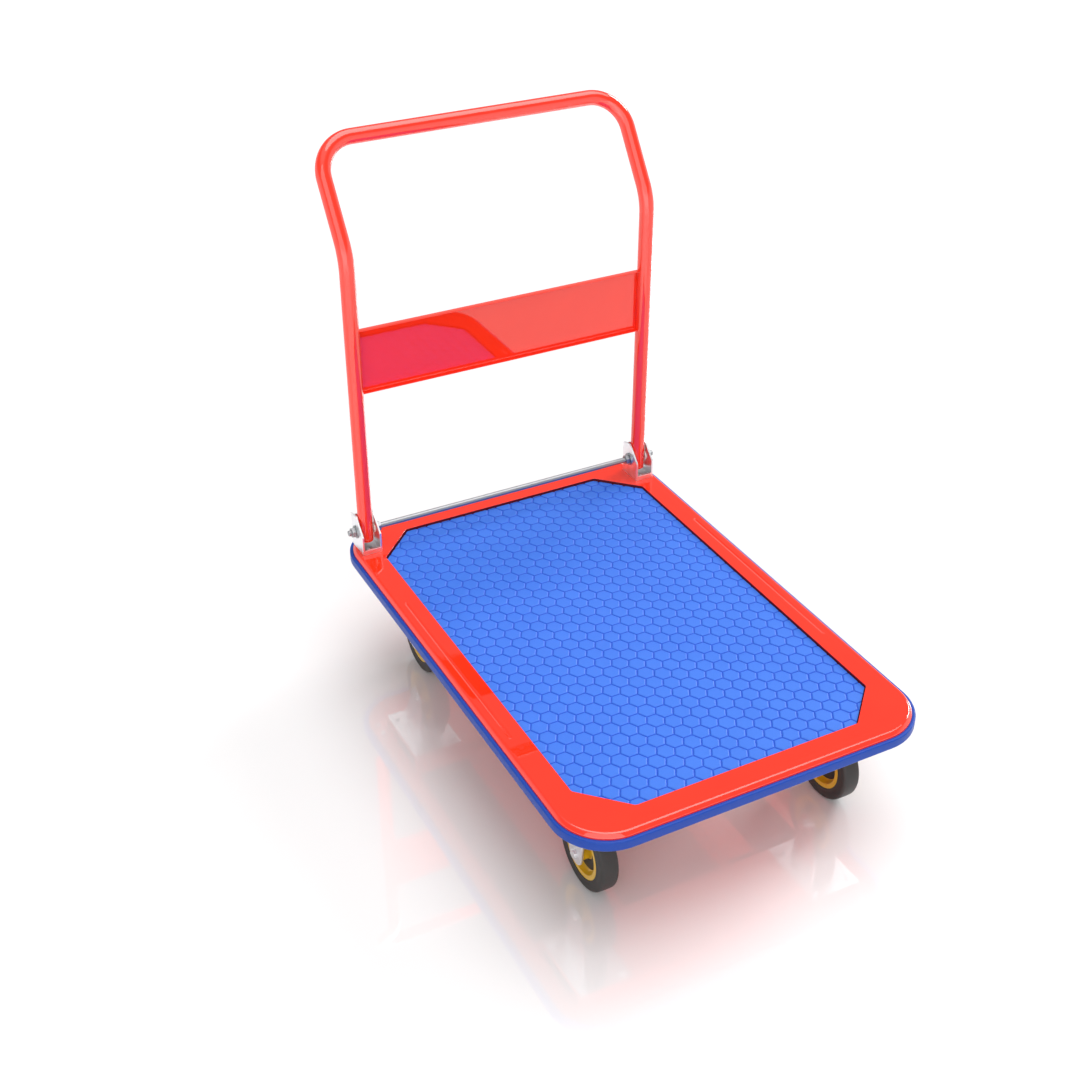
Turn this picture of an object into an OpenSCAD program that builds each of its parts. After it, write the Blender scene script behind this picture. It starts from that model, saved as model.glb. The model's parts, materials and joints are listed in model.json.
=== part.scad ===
// Platform trolley: pressed steel deck with a blue mat and bumper, a folding
// tube handle, two rigid casters at the front and two swivel casters at the handle end.
// Millimetres, Z up, X across the deck, the handle stands at +Y.

/* [Deck] */
// Width of the deck rim across X, without the bumper
deck_width = 600; // [560:10:640]
// Length of the deck rim along Y, without the bumper
deck_length = 888; // [860:4:920]
// Height of the deck rim above the floor
deck_height = 208; // [206:1:212]
// Radius of the deck corners seen from above
corner_radius = 80; // [76:1:84]
// Thickness of the deck sheet
sheet_t = 1.8; // [1.5:0.1:2.5]
// Depth of the pressed field that holds the mat
recess_depth = 7.5; // [6:0.5:8]
// Width of the flat rim round the pressed field
rim_width = 43.3; // [42:0.1:45]
// Length of the cut-off corners of the pressed field
recess_chamfer = 66; // [60:1:70]

/* [Mat and bumper] */
// Thickness of the mat
mat_t = 3; // [2.5:0.1:4]
// How far the bumper stands out from the deck skirt
bumper_proud = 6; // [4:0.5:8]
// Height of the bumper face
bumper_height = 17; // [15:0.5:18]

/* [Handle] */
// Outside diameter of the handle tube
tube_d = 25.4; // [24:0.2:26]
// Wall thickness of the handle tube
tube_wall = 1.6; // [1.2:0.1:2.5]
// Distance between the centre lines of the two legs
leg_spacing = 545; // [543:0.5:547]
// Height of the hinge rod above the deck rim
pivot_rise = 34; // [31.6:0.1:35]
// Height of the bend in the legs above the deck rim
bend_rise = 536; // [500:2:560]
// Angle by which the upper part leans back
lean_angle = 35; // [20:1:45]
// Length of the leaning part, bend to top bar
lean_length = 185; // [180:1:200]
// Centre line radius of the two top corners
top_bend_r = 60; // [50:1:70]
// Centre line radius of the backward bend in the legs
leg_bend_r = 88; // [70:1:100]
// Height of the cross panel
panel_height = 113; // [90:1:120]
// Height of the bottom of the panel above the deck rim
panel_rise = 296; // [280:1:310]

/* [Casters] */
// Wheel diameter
wheel_d = 130; // [126:1:132]
// Width of the tyre
tyre_w = 30; // [28:1:32]
// Distance of the wheel centre planes from the centre of the deck
wheel_x = 215; // [210:1:218]
// Distance of the front axles behind the front rim edge
front_axle = 128; // [124:1:132]
// Distance of the swivel pins behind the front rim edge
swivel_at = 750; // [744:1:754]
// Trail, swivel pin to axle
trail = 30; // [26:1:34]
// Height of the upper face of the caster plates above the floor
caster_h = 172; // [171:1:174]

/* [Hidden] */
$fn = 64;

red = "#FF4632";
blue = "#3F74E8";
deep_blue = "#1450B0";
zinc = "#C9CCD1";
black = "#33312F";
yellow = "#D9B020";
nylon = "#E8E6DF";

tube_r = tube_d / 2;
handle_back = (leg_at() + lean_length * sin(lean_angle)) + tube_r;
front_rim_y = -(handle_back + bumper_proud) / 2 + bumper_proud;
pivot_y = front_rim_y + leg_at();
pivot_z = deck_height + pivot_rise;
leg_x = leg_spacing / 2;
bend_z = deck_height + bend_rise;
deck_y = front_rim_y + deck_length / 2;
skirt_drop = 23;
edge_r = 3;
field_under = deck_height - recess_depth - sheet_t;
bumper_under = 2;
bumper_z = deck_height - skirt_drop - bumper_under;
axle_z = wheel_d / 2;
front_axle_y = front_rim_y + front_axle;
king_y = front_rim_y + swivel_at;
rear_axle_y = king_y - trail;
plate_x = 92;
plate_y = 130;
plate_t = 3.5;
hole_x = 35;
hole_y = 50;
fork_in = 20.5;
fork_t = 3;
fork_r = 19;
crown_top = 153.5;
crown_t = 3.5;
ball_r = 3;
ball_ring_r = 21;
channel_t = 2.5;
channel_w = 136;
channel_flange = 15;
channel_x = 524;
rod_r = 5;
rod_fit = 0.08;
bracket_in = 14.5;
bracket_t = 3;
bracket_front = 28.5;
bracket_back = 22;
ear_h = 64;
leg_below = 20;
m8_r = 4;           // caster screws and axle screws
m8_clear_r = 4.2;
m8_af = 13;
m8_head = 5.3;
m8_nut = 6.5;
nut_fit = 0.03;     // radial play of a nut on its shank
rod_nut_h = 7;
washer_t = 2;
lap = 0.5;          // overlap where two parts of one pressing run into each other
cut = 30;           // length of a cutter that goes right through

// Distance of the handle legs behind the front rim edge.
function leg_at() = deck_length - 61;

// ---------- small shared shapes ----------

module hex_prism(af, h) {
  cylinder(r = af / sqrt(3), h = h, $fn = 6);
}

// Hexagon nut round a shank of radius r.
module nut(af, h, r) difference() {
  hex_prism(af, h);
  cylinder(r = r + nut_fit, h = cut, center = true);
}

module both_sides() {
  children();
  mirror([1, 0, 0]) children();
}

module rounded_plan(w, l, r) {
  square([w - 2 * r, l], center = true);
  square([w, l - 2 * r], center = true);
  for (sx = [-1, 1], sy = [-1, 1])
    translate([sx * (w / 2 - r), sy * (l / 2 - r)]) circle(r);
}

// Rounded plate whose upper edge is broken by a conical bevel of the given size.
module bevelled_plate(w, l, r, h, b) {
  linear_extrude(height = h - b) rounded_plan(w, l, r);
  translate([0, 0, h - b]) {
    bevel_bar(w, l - 2 * r, b);
    rotate([0, 0, 90]) bevel_bar(l, w - 2 * r, b);
    for (sx = [-1, 1], sy = [-1, 1])
      translate([sx * (w / 2 - r), sy * (l / 2 - r), 0])
        cylinder(r1 = r, r2 = r - b, h = b);
  }
}

module bevel_bar(w, l, b) {
  rotate([90, 0, 0]) linear_extrude(height = l, center = true)
    polygon([[-w / 2, 0], [w / 2, 0], [w / 2 - b, b], [-w / 2 + b, b]]);
}

module field_plan(grow) {
  hw = deck_width / 2 - rim_width + grow;
  hl = deck_length / 2 - rim_width + grow;
  c = recess_chamfer + grow * (2 - sqrt(2));
  polygon([[-hw + c, -hl], [hw - c, -hl], [hw, -hl + c], [hw, hl - c],
           [hw - c, hl], [-hw + c, hl], [-hw, hl - c], [-hw, -hl + c]]);
}

// ---------- deck ----------

bead_x = deck_width / 2 - 19;
bead_l = 384;
bead_w = 7;
bead_d = 1;
mat_gap = 1.2;      // play of the mat in the pressed field
bumper_lip = 4;     // how far the bumper hooks in under the skirt
bracket_hole_r = 3.2;

module bead(w, d, z) {
  for (sx = [-1, 1]) translate([sx * bead_x, 0, z]) {
    cube([w, bead_l, 2 * d], center = true);
    for (sy = [-1, 1]) translate([0, sy * bead_l / 2, -d]) cylinder(r = w / 2, h = 2 * d);
  }
}

module deck_pan() color(red) translate([0, deck_y, 0]) difference() {
  union() {
    difference() {
      translate([0, 0, deck_height - skirt_drop])
        bevelled_plate(deck_width, deck_length, corner_radius, skirt_drop, edge_r);
      translate([0, 0, deck_height - skirt_drop - sheet_t])
        bevelled_plate(deck_width - 2 * sheet_t, deck_length - 2 * sheet_t,
                       corner_radius - sheet_t, skirt_drop, edge_r);
    }
    translate([0, 0, field_under])
      linear_extrude(height = recess_depth + sheet_t - lap) field_plan(sheet_t);
    bead(bead_w + 2 * sheet_t, bead_d, deck_height - sheet_t - bead_d + lap);
  }
  translate([0, 0, deck_height - recess_depth])
    linear_extrude(height = recess_depth + 1) field_plan(0);
  bead(bead_w, bead_d, deck_height);
  translate([0, -deck_y, 0]) bracket_holes();
}

module deck_mat() color(blue) translate([0, deck_y, deck_height - recess_depth])
  linear_extrude(height = mat_t) field_plan(-mat_gap);

module bumper() color(deep_blue) translate([0, deck_y, 0]) difference() {
  translate([0, 0, bumper_z]) linear_extrude(height = bumper_height)
    rounded_plan(deck_width + 2 * bumper_proud, deck_length + 2 * bumper_proud,
                 corner_radius + bumper_proud);
  translate([0, 0, deck_height - skirt_drop]) linear_extrude(height = bumper_height)
    rounded_plan(deck_width, deck_length, corner_radius);
  translate([0, 0, bumper_z - 1]) linear_extrude(height = bumper_height)
    rounded_plan(deck_width - 2 * bumper_lip, deck_length - 2 * bumper_lip,
                 corner_radius - bumper_lip);
}

module hat_channel(len, w, h, flange, t) rotate([90, 0, 90])
  linear_extrude(height = len, center = true) {
    translate([-w / 2, 0]) square([w, t]);
    for (s = [0, 1]) mirror([s, 0]) {
      translate([w / 2 - t, 0]) square([t, h]);
      translate([w / 2 - t, h - t]) square([flange + t, t]);
    }
  }

module caster_holes(y) {
  for (sx = [-1, 1], hx = [-1, 1], hy = [-1, 1])
    translate([sx * wheel_x + hx * hole_x, y + hy * hole_y, caster_h])
      cylinder(r = m8_clear_r, h = cut, center = true);
}

module channel_at(y) color(red) difference() {
  translate([0, y, caster_h])
    hat_channel(channel_x, channel_w, field_under - caster_h, channel_flange, channel_t);
  caster_holes(y);
}

module front_channel() channel_at(front_axle_y);
module rear_channel() channel_at(king_y);

stringer_x = 130;
stringer_w = 50;
stringer_h = 18;
stringer_flange = 12;
stringer_t = 2;
stringer_gap = 2;   // weld gap to the cross channels

module stringers() {
  y0 = front_axle_y + channel_w / 2 + channel_flange + stringer_gap;
  y1 = king_y - channel_w / 2 - channel_flange - stringer_gap;
  color(red) both_sides() translate([stringer_x, (y0 + y1) / 2, field_under - stringer_h])
    rotate([0, 0, 90])
      hat_channel(y1 - y0, stringer_w, stringer_h, stringer_flange, stringer_t);
}

// ---------- handle hinge ----------

bolt_front = -17;
bolt_back = 9;
knee_h = 36;        // height of the ear where its sloping front edge starts
ear_round = 8;      // radius of the ear's top corner
ear_top_y = 2;      // centre of that corner behind the rod
ear_fall = 3;       // how much lower the ear's back corner is
front_wall_h = 9;
stop_gap = 0.35;    // play between the upright leg and the stop web
stop_rise = 21;     // underside of the stop web above the rod
web_lap = 1;        // how far the webs and the base run into the ears
m6_r = 3;

module bracket_holes() {
  for (sx = [-1, 1], dy = [bolt_front, bolt_back])
    translate([sx * leg_x, pivot_y + dy, deck_height])
      cylinder(r = bracket_hole_r, h = cut, center = true);
}

module ear_plan() difference() {
  hull() {
    polygon([[-bracket_front, 0], [bracket_back, 0], [bracket_back, ear_h - ear_fall],
             [-bracket_front, knee_h]]);
    translate([ear_top_y, ear_h - ear_round]) circle(ear_round);
  }
  translate([0, pivot_rise]) circle(rod_r + rod_fit / 2);
}

module hinge_bracket(sx) color(zinc) difference() {
  web = 2 * (bracket_in + web_lap);
  translate([sx * leg_x, pivot_y, deck_height]) {
    for (s = [-1, 1]) translate([s * (bracket_in + bracket_t / 2), 0, 0])
      rotate([90, 0, 90]) linear_extrude(height = bracket_t, center = true) ear_plan();
    translate([-web / 2, -bracket_front, 0])
      cube([web, bracket_front + bracket_back, bracket_t]);
    translate([-web / 2, -bracket_front, 0])
      cube([web, bracket_t, front_wall_h]);
    translate([-web / 2, tube_r + stop_gap, pivot_rise + stop_rise])
      cube([web, bracket_t, ear_h - ear_fall - pivot_rise - stop_rise]);
  }
  bracket_holes();
}

module hinge_bracket_left() hinge_bracket(-1);
module hinge_bracket_right() hinge_bracket(1);

module at_bracket_holes() for (sx = [-1, 1], dy = [bolt_front, bolt_back])
  translate([sx * leg_x, pivot_y + dy, deck_height]) children();

module bracket_bolts() color(zinc) {
  below = 9;
  at_bracket_holes() {
    translate([0, 0, bracket_t]) cylinder(r1 = 5.5, r2 = 4, h = 2.6);
    translate([0, 0, -below]) cylinder(r = m6_r, h = below + bracket_t + 1);
  }
}

module bracket_nuts() color(zinc) {
  m6_af = 10;
  m6_nut = 5;
  at_bracket_holes() translate([0, 0, -sheet_t - m6_nut]) nut(m6_af, m6_nut, m6_r);
}

module x_rod(x0, x1, r) translate([x0, pivot_y, pivot_z])
  rotate([0, 90, 0]) cylinder(r = r, h = x1 - x0);

rod_end = 14.5;     // how far the rod stands out of the outer ears
rod_half = leg_x + bracket_in + bracket_t + rod_end;

module pivot_rod() color(zinc) x_rod(-rod_half, rod_half, rod_r);

// A ring on the rod, from x0 to x1 in either order.
module rod_ring(x0, x1, r) difference() {
  x_rod(min(x0, x1), max(x0, x1), r);
  x_rod(x0 - cut / 2, x0 + cut / 2, rod_r + 0.05);
}

module rod_washers() color(zinc) both_sides() for (s = [-1, 1]) {
  x = leg_x + s * (bracket_in + bracket_t);
  rod_ring(x, x + s * washer_t, 11.5);
}

module rod_nuts() color(zinc) both_sides() for (s = [-1, 1]) {
  x = leg_x + s * (bracket_in + bracket_t + washer_t + rod_nut_h / 2);
  translate([x - rod_nut_h / 2, pivot_y, pivot_z]) rotate([0, 90, 0])
    nut(16, rod_nut_h, rod_r);
}

module leg_bushes() color(nylon) both_sides() for (s = [-1, 1]) {
  leg_play = 0.4;
  x = leg_x + s * bracket_in;
  rod_ring(x, x - s * (bracket_in - tube_r - leg_play), 9);
}

// ---------- handle ----------

bend_tan = leg_bend_r * tan(lean_angle / 2);

bore_r = tube_r - tube_wall;
pivot_tube_wall = 3; // wall of the cross tube that carries the rod through each leg
bend_slim = 0.1;     // a bend's wall is this much thinner on each side, inside the straights' wall

// Straight tube that runs on into the bends at both of its ends.
module tube_length(h) translate([0, 0, -lap]) difference() {
  cylinder(r = tube_r, h = h + 2 * lap);
  translate([0, 0, -1]) cylinder(r = bore_r, h = h + 2 * lap + 2);
}

module tube_bend(bend_r, angle) rotate_extrude(angle = angle) translate([bend_r, 0])
  difference() {
    circle(tube_r - bend_slim);
    circle(bore_r + bend_slim);
  }

// A leg up to its bend, with the cross tube for the rod inside it.
module leg(h) difference() {
  cylinder(r = tube_r, h = h);
  difference() {
    translate([0, 0, -1]) cylinder(r = bore_r, h = h + 2);
    translate([0, 0, leg_below]) rotate([0, 90, 0])
      cylinder(r = rod_r + pivot_tube_wall, h = tube_d, center = true);
  }
  translate([0, 0, leg_below]) rotate([0, 90, 0])
    cylinder(r = rod_r + rod_fit, h = cut, center = true);
}

// Legs and backward bends, then the leaning frame: straight, top corner and bar.
module handle_tube() color(red) {
  leg_top = bend_z - bend_tan;
  foot = pivot_z - leg_below;
  straight = lean_length - bend_tan - top_bend_r;
  corner_x = leg_x - top_bend_r;
  for (s = [-1, 1]) translate([s * leg_x, pivot_y, 0]) {
    translate([0, 0, foot]) leg(leg_top + lap - foot);
    translate([0, leg_bend_r, leg_top]) rotate([90, 0, -90]) tube_bend(leg_bend_r, lean_angle);
  }
  translate([0, pivot_y, bend_z]) rotate([-lean_angle, 0, 0]) {
    translate([-corner_x, 0, lean_length]) rotate([0, 90, 0]) tube_length(2 * corner_x);
    for (s = [-1, 1]) {
      translate([s * leg_x, 0, bend_tan]) tube_length(straight);
      translate([s * corner_x, 0, lean_length - top_bend_r]) rotate([90, 0, 0])
        rotate([0, 0, s < 0 ? 90 : 0]) tube_bend(top_bend_r, 90);
    }
  }
}

plug_h = 3.5;
panel_t = 1.5;
panel_d = 12;
panel_end = 2;      // solid metal left between the tray and each leg

module handle_panel() color(red) difference() {
  translate([0, pivot_y, deck_height + panel_rise]) difference() {
    translate([-leg_x, -panel_d / 2, 0]) cube([leg_spacing, panel_d, panel_height]);
    translate([-leg_x + tube_r + panel_end, -panel_d / 2 - 1, panel_t])
      cube([leg_spacing - 2 * (tube_r + panel_end), panel_d - panel_t + 1,
            panel_height - 2 * panel_t]);
  }
  for (sx = [-1, 1]) translate([sx * leg_x, pivot_y, deck_height + panel_rise - 5])
    cylinder(r = tube_r, h = panel_height + 10);
}

module leg_plugs() color(black) for (sx = [-1, 1])
  translate([sx * leg_x, pivot_y, pivot_z - leg_below])
    cylinder(r = bore_r, h = plug_h);

// ---------- wheels ----------

rim_r = 46;
rim_in = 38;
rim_half = 14;
boss_r = 14;
boss_half = 18.5;
web_half = 3;
sleeve_r = 8;
shoulder = 5;
disc_t = 2;
bolt_end = 9;       // length of the axle screw beyond the fork, at the nut's side

module wheel_at(x, y) translate([x, y, axle_z]) rotate([0, 90, 0]) children();

module hub(x, y) color(yellow) wheel_at(x, y) rotate_extrude() {
  translate([rim_in, -rim_half]) square([rim_r - rim_in, 2 * rim_half]);
  translate([boss_r - 1, -web_half]) square([rim_in - boss_r + 2, 2 * web_half]);
  translate([sleeve_r + rod_fit, -boss_half])
    square([boss_r - sleeve_r - rod_fit, 2 * boss_half]);
}

module discs(x, y) color(black) wheel_at(x, y) for (s = [0, 1]) mirror([0, 0, s])
  translate([0, 0, web_half]) difference() {
    cylinder(r = rim_in, h = disc_t);
    cylinder(r = boss_r, h = cut, center = true);
  }

module tyre(x, y) color(black) wheel_at(x, y) rotate_extrude() difference() {
  h = tyre_w / 2;
  ro = wheel_d / 2;
  union() {
    translate([rim_r, -h]) square([ro - shoulder - rim_r, tyre_w]);
    translate([rim_r, -h + shoulder]) square([ro - rim_r, tyre_w - 2 * shoulder]);
    for (s = [-1, 1]) translate([ro - shoulder, s * (h - shoulder)]) circle(shoulder);
  }
}

module axle_sleeve(x, y) color(zinc) wheel_at(x, y) difference() {
  cylinder(r = sleeve_r, h = 2 * fork_in, center = true);
  cylinder(r = m8_r + 0.05, h = 2 * fork_in + cut, center = true);
}

// side is -1 or 1; the bolt head faces outward.
module axle_bolt(x, y, side) color(zinc) translate([x, y, axle_z])
  rotate([0, side * 90, 0]) {
    translate([0, 0, -fork_in - fork_t - bolt_end])
      cylinder(r = m8_r, h = 2 * (fork_in + fork_t) + bolt_end);
    translate([0, 0, fork_in + fork_t]) hex_prism(m8_af, m8_head);
  }

module axle_nut(x, y, side) color(zinc) translate([x, y, axle_z])
  rotate([0, side * 90, 0]) translate([0, 0, -fork_in - fork_t - m8_nut])
    nut(m8_af, m8_nut, m8_r);

// ---------- rigid casters ----------

module plate_blank(x, y) translate([x, y, caster_h - plate_t]) difference() {
  translate([-plate_x / 2, -plate_y / 2, 0]) cube([plate_x, plate_y, plate_t]);
  for (hx = [-1, 1], hy = [-1, 1]) translate([hx * hole_x, hy * hole_y, -1])
    cylinder(r = m8_clear_r, h = plate_t + 2);
}

// Fork cheek: a strip with a round foot at the axle, drawn in Y and Z about the axle.
module cheek_plan(front, back, top) {
  waist = fork_r - 0.4;
  band = 16;
  difference() {
    union() {
      circle(fork_r);
      polygon([[-waist, 0], [waist, 0], [back, top - band],
               [back, top], [-front, top], [-front, top - band]]);
    }
    circle(m8_r + 0.1);
  }
}

module cheeks(x, y, front, back, top) for (s = [-1, 1])
  translate([x + s * (fork_in + fork_t / 2), y, axle_z]) rotate([90, 0, 90])
    linear_extrude(height = fork_t, center = true) cheek_plan(front, back, top);

module rigid_housing(x) color(zinc) {
  half_w = 30;
  plate_blank(x, front_axle_y);
  cheeks(x, front_axle_y, half_w, half_w, caster_h - plate_t - axle_z + lap);
}

module front_left_housing() rigid_housing(-wheel_x);
module front_right_housing() rigid_housing(wheel_x);
module front_axle_bolts() for (s = [-1, 1]) axle_bolt(s * wheel_x, front_axle_y, s);
module front_axle_nuts() for (s = [-1, 1]) axle_nut(s * wheel_x, front_axle_y, s);
module front_axle_sleeves() for (s = [-1, 1]) axle_sleeve(s * wheel_x, front_axle_y);
module front_left_hub() hub(-wheel_x, front_axle_y);
module front_left_discs() discs(-wheel_x, front_axle_y);
module front_left_tyre() tyre(-wheel_x, front_axle_y);
module front_right_hub() hub(wheel_x, front_axle_y);
module front_right_discs() discs(wheel_x, front_axle_y);
module front_right_tyre() tyre(wheel_x, front_axle_y);

// ---------- swivel casters ----------

pin_r = 6;
ball_z = crown_top + 5.8;
cup_r = 30;
cup_wall = 2;
cup_gap = 1.5;      // the cup's skirt over the fork's crown
cap_h = 1.2;        // how far the cup's hollow reaches over the ball centres
race_h = 4;         // the fork's raised race
fork_front = 16;
fork_back = 58;
pin_head_h = 4;
pin_head_r = 10.5;
pin_play = 0.3;     // play of the pin's head under the crown

module ball_groove(r) translate([0, 0, ball_z]) rotate_extrude()
  translate([ball_ring_r, 0]) circle(r);

module swivel_plate(x) color(zinc) difference() {
  union() {
    plate_blank(x, king_y);
    translate([x, king_y, crown_top + cup_gap])
      cylinder(r = cup_r, h = caster_h - plate_t - crown_top - cup_gap + lap);
  }
  translate([x, king_y, 0]) {
    translate([0, 0, crown_top]) cylinder(r = cup_r - cup_wall, h = ball_z - crown_top + cap_h);
    ball_groove(ball_r + 0.3);
    translate([0, 0, crown_top]) cylinder(r = pin_r, h = cut);
  }
}

module king_pin(x) color(zinc) {
  head_top = crown_top - crown_t - pin_play;
  translate([x, king_y, head_top]) {
    cylinder(r = pin_r, h = caster_h - head_top);
    translate([0, 0, -pin_head_h]) cylinder(r = pin_head_r, h = pin_head_h);
  }
}

module race_balls(x) color(zinc) for (i = [0:11])
  translate([x, king_y, ball_z]) rotate([0, 0, i * 30])
    translate([ball_ring_r, 0, 0]) sphere(ball_r);

module swivel_fork(x) color(zinc) difference() {
  union() {
    cheeks(x, rear_axle_y, fork_front, fork_back, crown_top - axle_z);
    translate([x - fork_in - 1, rear_axle_y - fork_front, crown_top - crown_t])
      cube([2 * fork_in + 2, fork_front + fork_back, crown_t]);
    translate([x, king_y, crown_top - 1]) cylinder(r = cup_r - 3, h = race_h + 1);
  }
  translate([x, king_y, 0]) {
    ball_groove(ball_r);
    translate([0, 0, crown_top]) cylinder(r = pin_r + rod_fit, h = cut, center = true);
  }
}

module rear_left_plate() swivel_plate(-wheel_x);
module rear_left_king_pin() king_pin(-wheel_x);
module rear_left_balls() race_balls(-wheel_x);
module rear_left_fork() swivel_fork(-wheel_x);
module rear_left_axle_bolt() axle_bolt(-wheel_x, rear_axle_y, -1);
module rear_left_axle_nut() axle_nut(-wheel_x, rear_axle_y, -1);
module rear_left_axle_sleeve() axle_sleeve(-wheel_x, rear_axle_y);
module rear_left_hub() hub(-wheel_x, rear_axle_y);
module rear_left_discs() discs(-wheel_x, rear_axle_y);
module rear_left_tyre() tyre(-wheel_x, rear_axle_y);
module rear_right_plate() swivel_plate(wheel_x);
module rear_right_king_pin() king_pin(wheel_x);
module rear_right_balls() race_balls(wheel_x);
module rear_right_fork() swivel_fork(wheel_x);
module rear_right_axle_bolt() axle_bolt(wheel_x, rear_axle_y, 1);
module rear_right_axle_nut() axle_nut(wheel_x, rear_axle_y, 1);
module rear_right_axle_sleeve() axle_sleeve(wheel_x, rear_axle_y);
module rear_right_hub() hub(wheel_x, rear_axle_y);
module rear_right_discs() discs(wheel_x, rear_axle_y);
module rear_right_tyre() tyre(wheel_x, rear_axle_y);

// ---------- caster fixings ----------

module at_caster_holes()
  for (sx = [-1, 1], y = [front_axle_y, king_y], hx = [-1, 1], hy = [-1, 1])
    translate([sx * wheel_x + hx * hole_x, y + hy * hole_y, caster_h]) children();

module caster_bolts() color(zinc) at_caster_holes() {
  translate([0, 0, -plate_t - m8_head]) hex_prism(m8_af, m8_head);
  translate([0, 0, -plate_t - 1]) cylinder(r = m8_r, h = plate_t + channel_t + bolt_end + 1);
}

module caster_nuts() color(zinc) at_caster_holes() translate([0, 0, channel_t])
  nut(m8_af, m8_nut, m8_r);

deck_pan();
deck_mat();
bumper();
front_channel();
rear_channel();
stringers();
hinge_bracket_left();
hinge_bracket_right();
bracket_bolts();
bracket_nuts();
pivot_rod();
rod_washers();
rod_nuts();
leg_bushes();
handle_tube();
handle_panel();
leg_plugs();
front_left_housing();
front_right_housing();
front_axle_bolts();
front_axle_nuts();
front_axle_sleeves();
front_left_hub();
front_left_discs();
front_left_tyre();
front_right_hub();
front_right_discs();
front_right_tyre();
rear_left_plate();
rear_left_king_pin();
rear_left_balls();
rear_left_fork();
rear_left_axle_bolt();
rear_left_axle_nut();
rear_left_axle_sleeve();
rear_left_hub();
rear_left_discs();
rear_left_tyre();
rear_right_plate();
rear_right_king_pin();
rear_right_balls();
rear_right_fork();
rear_right_axle_bolt();
rear_right_axle_nut();
rear_right_axle_sleeve();
rear_right_hub();
rear_right_discs();
rear_right_tyre();
caster_bolts();
caster_nuts();
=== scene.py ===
# %% [markdown]
# # A platform trolley, dressed over its solid model
#
# The trolley is a pressed steel deck with a rubber mat, a soft blue edge bumper, a tube handle
# that folds down on one long hinge rod, and four rubber-tyred casters. The solid model gives every
# size and place. This lesson works out a finer surface for each visible piece, gives each finish
# its own material, and sets up a plain studio.

# %% Load the solid model
import json
import math

import bmesh
import bpy
import numpy as np
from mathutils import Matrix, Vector


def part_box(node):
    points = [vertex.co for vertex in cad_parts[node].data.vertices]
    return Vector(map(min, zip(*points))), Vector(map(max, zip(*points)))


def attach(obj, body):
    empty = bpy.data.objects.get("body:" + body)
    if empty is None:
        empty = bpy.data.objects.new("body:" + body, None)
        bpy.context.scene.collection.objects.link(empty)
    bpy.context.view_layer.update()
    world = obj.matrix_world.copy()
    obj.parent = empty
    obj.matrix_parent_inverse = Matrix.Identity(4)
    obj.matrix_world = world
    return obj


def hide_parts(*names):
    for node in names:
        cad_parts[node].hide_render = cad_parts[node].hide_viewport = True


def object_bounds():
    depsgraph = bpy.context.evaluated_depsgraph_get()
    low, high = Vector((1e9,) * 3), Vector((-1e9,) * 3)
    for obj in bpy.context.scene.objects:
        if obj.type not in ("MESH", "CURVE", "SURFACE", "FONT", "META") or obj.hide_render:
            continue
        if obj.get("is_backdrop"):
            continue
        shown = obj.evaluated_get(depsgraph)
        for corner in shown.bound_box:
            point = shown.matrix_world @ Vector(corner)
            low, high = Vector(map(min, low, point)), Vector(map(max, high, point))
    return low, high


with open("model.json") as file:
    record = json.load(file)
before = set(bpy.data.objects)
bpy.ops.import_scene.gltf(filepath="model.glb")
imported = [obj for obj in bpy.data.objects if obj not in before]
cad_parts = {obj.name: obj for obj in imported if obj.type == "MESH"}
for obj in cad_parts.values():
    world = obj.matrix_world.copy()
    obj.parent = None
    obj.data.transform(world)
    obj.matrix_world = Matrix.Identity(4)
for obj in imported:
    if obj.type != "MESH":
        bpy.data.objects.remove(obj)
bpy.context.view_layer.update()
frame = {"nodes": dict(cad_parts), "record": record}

# %% [markdown]
# ## The few helpers
#
# Most pieces here are sheet or tube: a profile carried along a path. Such a surface is a grid of
# points with one index along the path and one along the profile, so one function that joins a
# grid into quads serves nearly all of them. A second one puts the arrays into a mesh, turns its
# faces outward and decides which edges stay crisp.

# %% Join a grid of points into faces
MM = 0.001


def grid_faces(rows, cols, wrap_rows=False, wrap_cols=False):
    """Quad (i, j), (i+1, j), (i+1, j+1), (i, j+1) for every i and j; a wrapped index returns to 0."""
    i, j = np.meshgrid(np.arange(rows - (not wrap_rows)), np.arange(cols - (not wrap_cols)),
                       indexing="ij")
    i, j = i.ravel(), j.ravel()
    i2, j2 = (i + 1) % rows, (j + 1) % cols
    return np.stack([i * cols + j, i2 * cols + j, i2 * cols + j2, i * cols + j2], axis=1)


def make_piece(name, points, faces, caps=(), crisp=35):
    """Points (n, 3) in millimetres and faces as index rows become one object in metres.
    Edges whose faces meet at more than crisp degrees stay sharp in the shading."""
    mesh = bpy.data.meshes.new(name)
    mesh.from_pydata((np.asarray(points, float).reshape(-1, 3) * MM).tolist(), [],
                     [list(f) for f in faces] + [list(c) for c in caps])
    shell = bmesh.new()
    shell.from_mesh(mesh)
    bmesh.ops.recalc_face_normals(shell, faces=shell.faces)
    shell.to_mesh(mesh)
    shell.free()
    mesh.shade_smooth()
    mesh.set_sharp_from_angle(angle=math.radians(crisp))
    piece = bpy.data.objects.new(name, mesh)
    bpy.context.scene.collection.objects.link(piece)
    print(name, len(mesh.vertices), "points", len(mesh.polygons), "faces")
    return piece


def dress(piece, body, material, slot, *nodes):
    """Gives a piece its finish, ties it to its body, and hides the solid nodes it stands for."""
    piece.data.materials.clear()
    piece.data.materials.append(material)
    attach(piece, body)
    if nodes:
        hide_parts(*nodes)
    return piece


# %% [markdown]
# ## Finishes
#
# Each finish starts from the real material and the way its surface was made. Colours are given as
# the hexadecimal values a paint chart would use, and turned to linear light by one function. The
# patterns read object coordinates in metres, so one millimetre of grain is one millimetre on every
# piece.

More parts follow.
